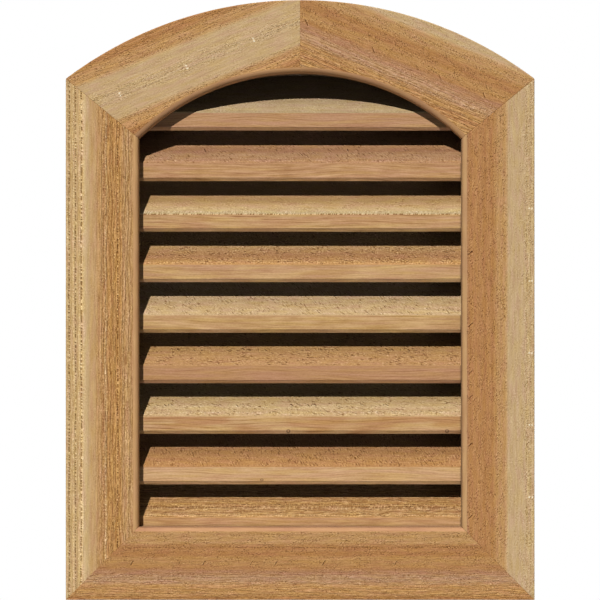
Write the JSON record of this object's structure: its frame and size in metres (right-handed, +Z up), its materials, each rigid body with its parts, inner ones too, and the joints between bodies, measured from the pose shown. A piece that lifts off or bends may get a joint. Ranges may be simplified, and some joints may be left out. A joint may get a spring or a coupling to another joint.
{
  "type": "gable vent",
  "caption": "Arch-topped wooden gable vent: rough-sawn casing boards mitred around sloping fixed louvers, in a box with an insect screen.",
  "frame": {"origin": "middle of the bottom flange's back face, on the wall plane, 33.5 mm above the casing's lower edge", "axes": "+Z up, front towards -Y, +X to the right as seen from the front"},
  "size_m": [0.572, 0.099, 0.732],
  "materials": {
    "casing": "rough-sawn cedar, unfinished, weathering from orange-brown to pale cream",
    "louvers": "cedar, rough-sawn on the slope and planed along the front edge",
    "box": "cedar, unfinished",
    "insect_screen": "fine woven dark grey mesh"
  },
  "bodies": {
    "root": {"casing_left_stile": "casing", "casing_right_stile": "casing", "casing_bottom_rail": "casing", "casing_arch_left": "casing", "casing_arch_right": "casing", "box_left_side": "box", "box_right_side": "box", "box_sill": "box", "box_head_left": "box", "box_head_right": "box", "louver_1": "louvers", "louver_2": "louvers", "louver_3": "louvers", "louver_4": "louvers", "louver_5": "louvers", "louver_6": "louvers", "louver_7": "louvers", "louver_8": "louvers", "louver_9": "louvers", "insect_screen": "insect_screen"}
  },
  "joints": []
}
